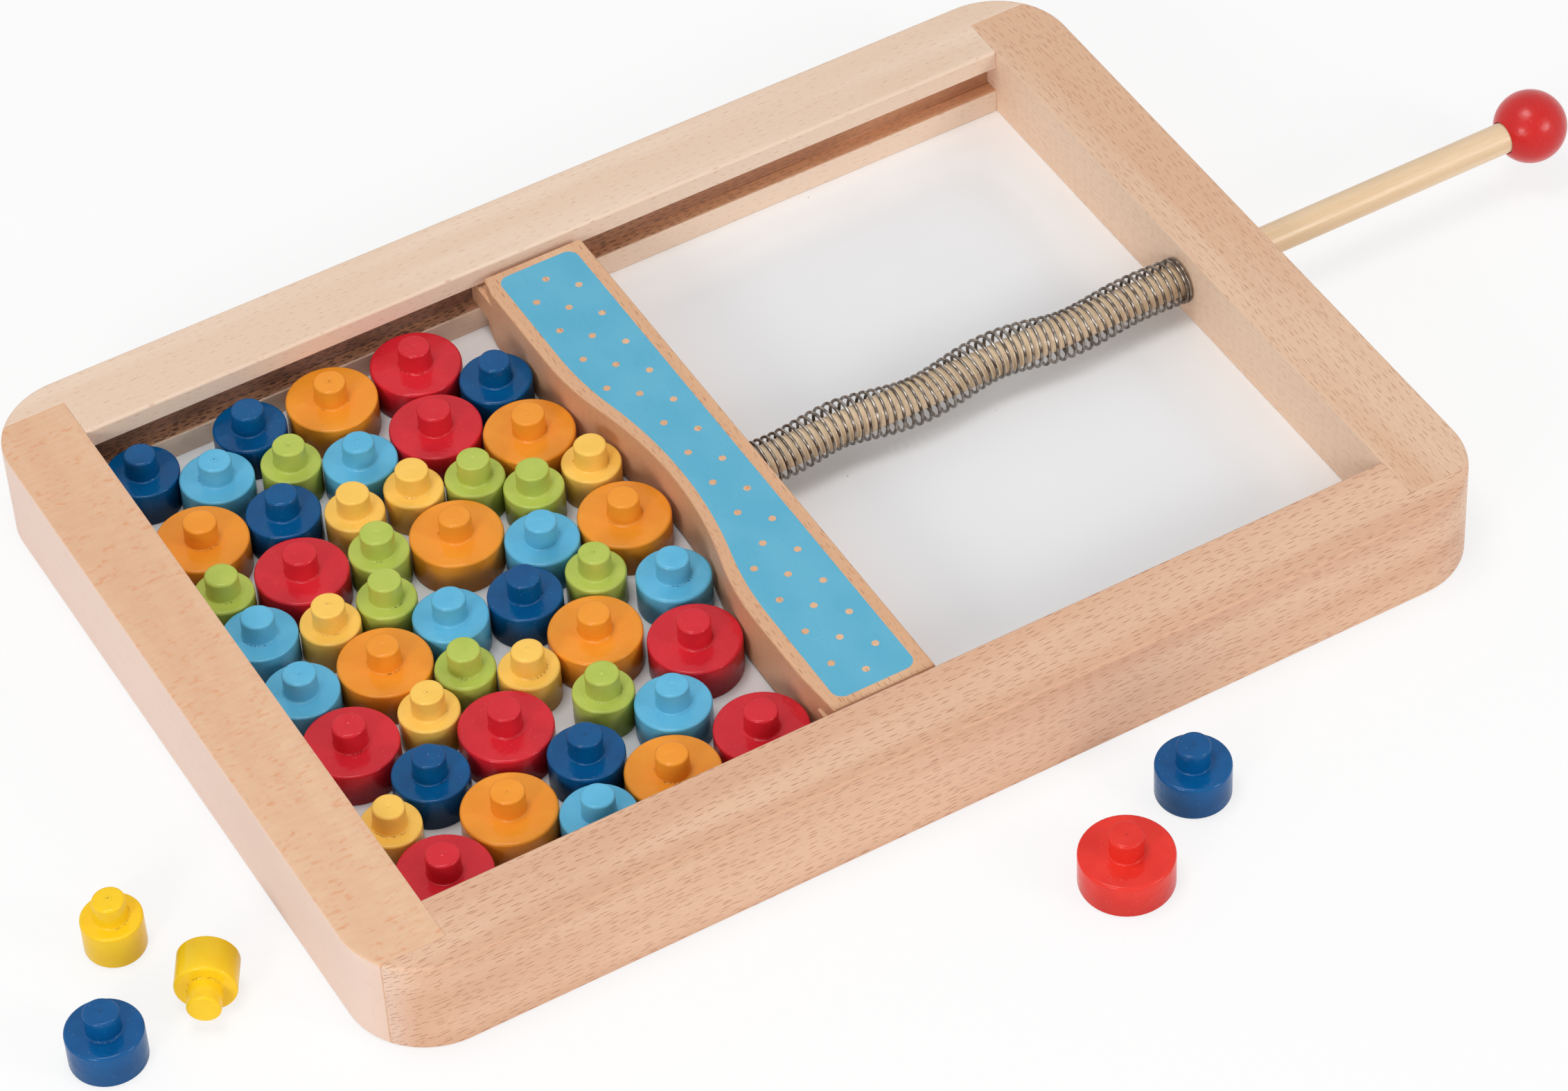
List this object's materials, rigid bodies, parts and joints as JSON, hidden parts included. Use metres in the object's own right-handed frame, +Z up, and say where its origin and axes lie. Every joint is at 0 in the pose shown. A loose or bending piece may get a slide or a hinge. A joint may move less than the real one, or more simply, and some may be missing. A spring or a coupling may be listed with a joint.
{
  "type": "peg tray game",
  "caption": "Wooden tray game: a sprung bar with a waisted edge, on a pull rod with a ball, presses loose knobbed round pegs of several colours and sizes against one end of the tray.",
  "frame": {"origin": "middle of the frame's underside, in the plane that the tray rests on", "axes": "+X along the pull rod, from the tray towards its ball; +Y towards the back long rail; +Z up"},
  "size_m": [0.6067, 0.3563, 0.0364],
  "materials": {
    "beech": "oiled beech with short dark flecks along the grain",
    "birch": "pale sanded birch, satin",
    "white_board": "white coated board, satin",
    "ball_red": "gloss red paint",
    "spring_steel": "drawn spring wire, dark and bright",
    "paint_red": "thick gloss red paint",
    "paint_orange": "thick gloss amber orange paint",
    "paint_navy": "thick gloss navy paint",
    "paint_sky": "thick gloss sky blue paint",
    "paint_green": "thick gloss lime green paint",
    "paint_yellow": "thick gloss yellow paint",
    "paint_loose": "thick gloss paint in red, navy or yellow"
  },
  "bodies": {
    "frame": {"rail_front": "beech", "rail_back": "beech", "rail_left": "beech", "rail_right": "beech", "base_panel": "white_board", "spring": "spring_steel"},
    "bar": {"slider_bar": "beech", "pull_rod": "birch", "pull_ball": "ball_red"},
    "body_peg_green_1": {"peg_green_1": "paint_green"},
    "body_peg_green_2": {"peg_green_2": "paint_green"},
    "body_peg_green_3": {"peg_green_3": "paint_green"},
    "body_peg_green_4": {"peg_green_4": "paint_green"},
    "body_peg_green_5": {"peg_green_5": "paint_green"},
    "body_peg_green_6": {"peg_green_6": "paint_green"},
    "body_peg_green_7": {"peg_green_7": "paint_green"},
    "body_peg_green_8": {"peg_green_8": "paint_green"},
    "body_peg_green_9": {"peg_green_9": "paint_green"},
    "body_peg_navy_1": {"peg_navy_1": "paint_navy"},
    "body_peg_navy_2": {"peg_navy_2": "paint_navy"},
    "body_peg_navy_3": {"peg_navy_3": "paint_navy"},
    "body_peg_navy_4": {"peg_navy_4": "paint_navy"},
    "body_peg_navy_5": {"peg_navy_5": "paint_navy"},
    "body_peg_navy_6": {"peg_navy_6": "paint_navy"},
    "body_peg_navy_7": {"peg_navy_7": "paint_navy"},
    "body_peg_orange_1": {"peg_orange_1": "paint_orange"},
    "body_peg_orange_2": {"peg_orange_2": "paint_orange"},
    "body_peg_orange_3": {"peg_orange_3": "paint_orange"},
    "body_peg_orange_4": {"peg_orange_4": "paint_orange"},
    "body_peg_orange_5": {"peg_orange_5": "paint_orange"},
    "body_peg_orange_6": {"peg_orange_6": "paint_orange"},
    "body_peg_orange_7": {"peg_orange_7": "paint_orange"},
    "body_peg_orange_8": {"peg_orange_8": "paint_orange"},
    "body_peg_orange_9": {"peg_orange_9": "paint_orange"},
    "body_peg_red_1": {"peg_red_1": "paint_red"},
    "body_peg_red_2": {"peg_red_2": "paint_red"},
    "body_peg_red_3": {"peg_red_3": "paint_red"},
    "body_peg_red_4": {"peg_red_4": "paint_red"},
    "body_peg_red_5": {"peg_red_5": "paint_red"},
    "body_peg_red_6": {"peg_red_6": "paint_red"},
    "body_peg_red_7": {"peg_red_7": "paint_red"},
    "body_peg_red_8": {"peg_red_8": "paint_red"},
    "body_peg_sky_1": {"peg_sky_1": "paint_sky"},
    "body_peg_sky_2": {"peg_sky_2": "paint_sky"},
    "body_peg_sky_3": {"peg_sky_3": "paint_sky"},
    "body_peg_sky_4": {"peg_sky_4": "paint_sky"},
    "body_peg_sky_5": {"peg_sky_5": "paint_sky"},
    "body_peg_sky_6": {"peg_sky_6": "paint_sky"},
    "body_peg_sky_7": {"peg_sky_7": "paint_sky"},
    "body_peg_sky_8": {"peg_sky_8": "paint_sky"},
    "body_peg_sky_9": {"peg_sky_9": "paint_sky"},
    "body_peg_yellow_1": {"peg_yellow_1": "paint_yellow"},
    "body_peg_yellow_2": {"peg_yellow_2": "paint_yellow"},
    "body_peg_yellow_3": {"peg_yellow_3": "paint_yellow"},
    "body_peg_yellow_4": {"peg_yellow_4": "paint_yellow"},
    "body_peg_yellow_5": {"peg_yellow_5": "paint_yellow"},
    "body_peg_yellow_6": {"peg_yellow_6": "paint_yellow"},
    "body_peg_yellow_7": {"peg_yellow_7": "paint_yellow"},
    "body_loose_front": {"loose_pegs_front": "paint_loose"},
    "body_loose_left": {"loose_pegs_left": "paint_loose"}
  },
  "joints": [
    {"name": "bar_pull", "type": "slide", "parent": "frame", "child": "bar", "axis": [1, 0, 0], "range_m": [0, 0.07], "stiffness_N_per_m": 160, "springref_m": -0.03, "deforming": ["spring"]},
    {"name": "lift_green_1", "type": "slide", "parent": "frame", "child": "body_peg_green_1", "axis": [0, 0, 1], "range_m": [0, 0.04]},
    {"name": "lift_green_2", "type": "slide", "parent": "frame", "child": "body_peg_green_2", "axis": [0, 0, 1], "range_m": [0, 0.04]},
    {"name": "lift_green_3", "type": "slide", "parent": "frame", "child": "body_peg_green_3", "axis": [0, 0, 1], "range_m": [0, 0.04]},
    {"name": "lift_green_4", "type": "slide", "parent": "frame", "child": "body_peg_green_4", "axis": [0, 0, 1], "range_m": [0, 0.04]},
    {"name": "lift_green_5", "type": "slide", "parent": "frame", "child": "body_peg_green_5", "axis": [0, 0, 1], "range_m": [0, 0.04]},
    {"name": "lift_green_6", "type": "slide", "parent": "frame", "child": "body_peg_green_6", "axis": [0, 0, 1], "range_m": [0, 0.04]},
    {"name": "lift_green_7", "type": "slide", "parent": "frame", "child": "body_peg_green_7", "axis": [0, 0, 1], "range_m": [0, 0.04]},
    {"name": "lift_green_8", "type": "slide", "parent": "frame", "child": "body_peg_green_8", "axis": [0, 0, 1], "range_m": [0, 0.04]},
    {"name": "lift_green_9", "type": "slide", "parent": "frame", "child": "body_peg_green_9", "axis": [0, 0, 1], "range_m": [0, 0.04]},
    {"name": "lift_navy_1", "type": "slide", "parent": "frame", "child": "body_peg_navy_1", "axis": [0, 0, 1], "range_m": [0, 0.04]},
    {"name": "lift_navy_2", "type": "slide", "parent": "frame", "child": "body_peg_navy_2", "axis": [0, 0, 1], "range_m": [0, 0.04]},
    {"name": "lift_navy_3", "type": "slide", "parent": "frame", "child": "body_peg_navy_3", "axis": [0, 0, 1], "range_m": [0, 0.04]},
    {"name": "lift_navy_4", "type": "slide", "parent": "frame", "child": "body_peg_navy_4", "axis": [0, 0, 1], "range_m": [0, 0.04]},
    {"name": "lift_navy_5", "type": "slide", "parent": "frame", "child": "body_peg_navy_5", "axis": [0, 0, 1], "range_m": [0, 0.04]},
    {"name": "lift_navy_6", "type": "slide", "parent": "frame", "child": "body_peg_navy_6", "axis": [0, 0, 1], "range_m": [0, 0.04]},
    {"name": "lift_navy_7", "type": "slide", "parent": "frame", "child": "body_peg_navy_7", "axis": [0, 0, 1], "range_m": [0, 0.04]},
    {"name": "lift_orange_1", "type": "slide", "parent": "frame", "child": "body_peg_orange_1", "axis": [0, 0, 1], "range_m": [0, 0.04]},
    {"name": "lift_orange_2", "type": "slide", "parent": "frame", "child": "body_peg_orange_2", "axis": [0, 0, 1], "range_m": [0, 0.04]},
    {"name": "lift_orange_3", "type": "slide", "parent": "frame", "child": "body_peg_orange_3", "axis": [0, 0, 1], "range_m": [0, 0.04]},
    {"name": "lift_orange_4", "type": "slide", "parent": "frame", "child": "body_peg_orange_4", "axis": [0, 0, 1], "range_m": [0, 0.04]},
    {"name": "lift_orange_5", "type": "slide", "parent": "frame", "child": "body_peg_orange_5", "axis": [0, 0, 1], "range_m": [0, 0.04]},
    {"name": "lift_orange_6", "type": "slide", "parent": "frame", "child": "body_peg_orange_6", "axis": [0, 0, 1], "range_m": [0, 0.04]},
    {"name": "lift_orange_7", "type": "slide", "parent": "frame", "child": "body_peg_orange_7", "axis": [0, 0, 1], "range_m": [0, 0.04]},
    {"name": "lift_orange_8", "type": "slide", "parent": "frame", "child": "body_peg_orange_8", "axis": [0, 0, 1], "range_m": [0, 0.04]},
    {"name": "lift_orange_9", "type": "slide", "parent": "frame", "child": "body_peg_orange_9", "axis": [0, 0, 1], "range_m": [0, 0.04]},
    {"name": "lift_red_1", "type": "slide", "parent": "frame", "child": "body_peg_red_1", "axis": [0, 0, 1], "range_m": [0, 0.04]},
    {"name": "lift_red_2", "type": "slide", "parent": "frame", "child": "body_peg_red_2", "axis": [0, 0, 1], "range_m": [0, 0.04]},
    {"name": "lift_red_3", "type": "slide", "parent": "frame", "child": "body_peg_red_3", "axis": [0, 0, 1], "range_m": [0, 0.04]},
    {"name": "lift_red_4", "type": "slide", "parent": "frame", "child": "body_peg_red_4", "axis": [0, 0, 1], "range_m": [0, 0.04]},
    {"name": "lift_red_5", "type": "slide", "parent": "frame", "child": "body_peg_red_5", "axis": [0, 0, 1], "range_m": [0, 0.04]},
    {"name": "lift_red_6", "type": "slide", "parent": "frame", "child": "body_peg_red_6", "axis": [0, 0, 1], "range_m": [0, 0.04]},
    {"name": "lift_red_7", "type": "slide", "parent": "frame", "child": "body_peg_red_7", "axis": [0, 0, 1], "range_m": [0, 0.04]},
    {"name": "lift_red_8", "type": "slide", "parent": "frame", "child": "body_peg_red_8", "axis": [0, 0, 1], "range_m": [0, 0.04]},
    {"name": "lift_sky_1", "type": "slide", "parent": "frame", "child": "body_peg_sky_1", "axis": [0, 0, 1], "range_m": [0, 0.04]},
    {"name": "lift_sky_2", "type": "slide", "parent": "frame", "child": "body_peg_sky_2", "axis": [0, 0, 1], "range_m": [0, 0.04]},
    {"name": "lift_sky_3", "type": "slide", "parent": "frame", "child": "body_peg_sky_3", "axis": [0, 0, 1], "range_m": [0, 0.04]},
    {"name": "lift_sky_4", "type": "slide", "parent": "frame", "child": "body_peg_sky_4", "axis": [0, 0, 1], "range_m": [0, 0.04]},
    {"name": "lift_sky_5", "type": "slide", "parent": "frame", "child": "body_peg_sky_5", "axis": [0, 0, 1], "range_m": [0, 0.04]},
    {"name": "lift_sky_6", "type": "slide", "parent": "frame", "child": "body_peg_sky_6", "axis": [0, 0, 1], "range_m": [0, 0.04]},
    {"name": "lift_sky_7", "type": "slide", "parent": "frame", "child": "body_peg_sky_7", "axis": [0, 0, 1], "range_m": [0, 0.04]},
    {"name": "lift_sky_8", "type": "slide", "parent": "frame", "child": "body_peg_sky_8", "axis": [0, 0, 1], "range_m": [0, 0.04]},
    {"name": "lift_sky_9", "type": "slide", "parent": "frame", "child": "body_peg_sky_9", "axis": [0, 0, 1], "range_m": [0, 0.04]},
    {"name": "lift_yellow_1", "type": "slide", "parent": "frame", "child": "body_peg_yellow_1", "axis": [0, 0, 1], "range_m": [0, 0.04]},
    {"name": "lift_yellow_2", "type": "slide", "parent": "frame", "child": "body_peg_yellow_2", "axis": [0, 0, 1], "range_m": [0, 0.04]},
    {"name": "lift_yellow_3", "type": "slide", "parent": "frame", "child": "body_peg_yellow_3", "axis": [0, 0, 1], "range_m": [0, 0.04]},
    {"name": "lift_yellow_4", "type": "slide", "parent": "frame", "child": "body_peg_yellow_4", "axis": [0, 0, 1], "range_m": [0, 0.04]},
    {"name": "lift_yellow_5", "type": "slide", "parent": "frame", "child": "body_peg_yellow_5", "axis": [0, 0, 1], "range_m": [0, 0.04]},
    {"name": "lift_yellow_6", "type": "slide", "parent": "frame", "child": "body_peg_yellow_6", "axis": [0, 0, 1], "range_m": [0, 0.04]},
    {"name": "lift_yellow_7", "type": "slide", "parent": "frame", "child": "body_peg_yellow_7", "axis": [0, 0, 1], "range_m": [0, 0.04]},
    {"name": "lift_loose_front", "type": "slide", "parent": "frame", "child": "body_loose_front", "axis": [0, 0, 1], "range_m": [0, 0.04]},
    {"name": "lift_loose_left", "type": "slide", "parent": "frame", "child": "body_loose_left", "axis": [0, 0, 1], "range_m": [0, 0.04]}
  ]
}
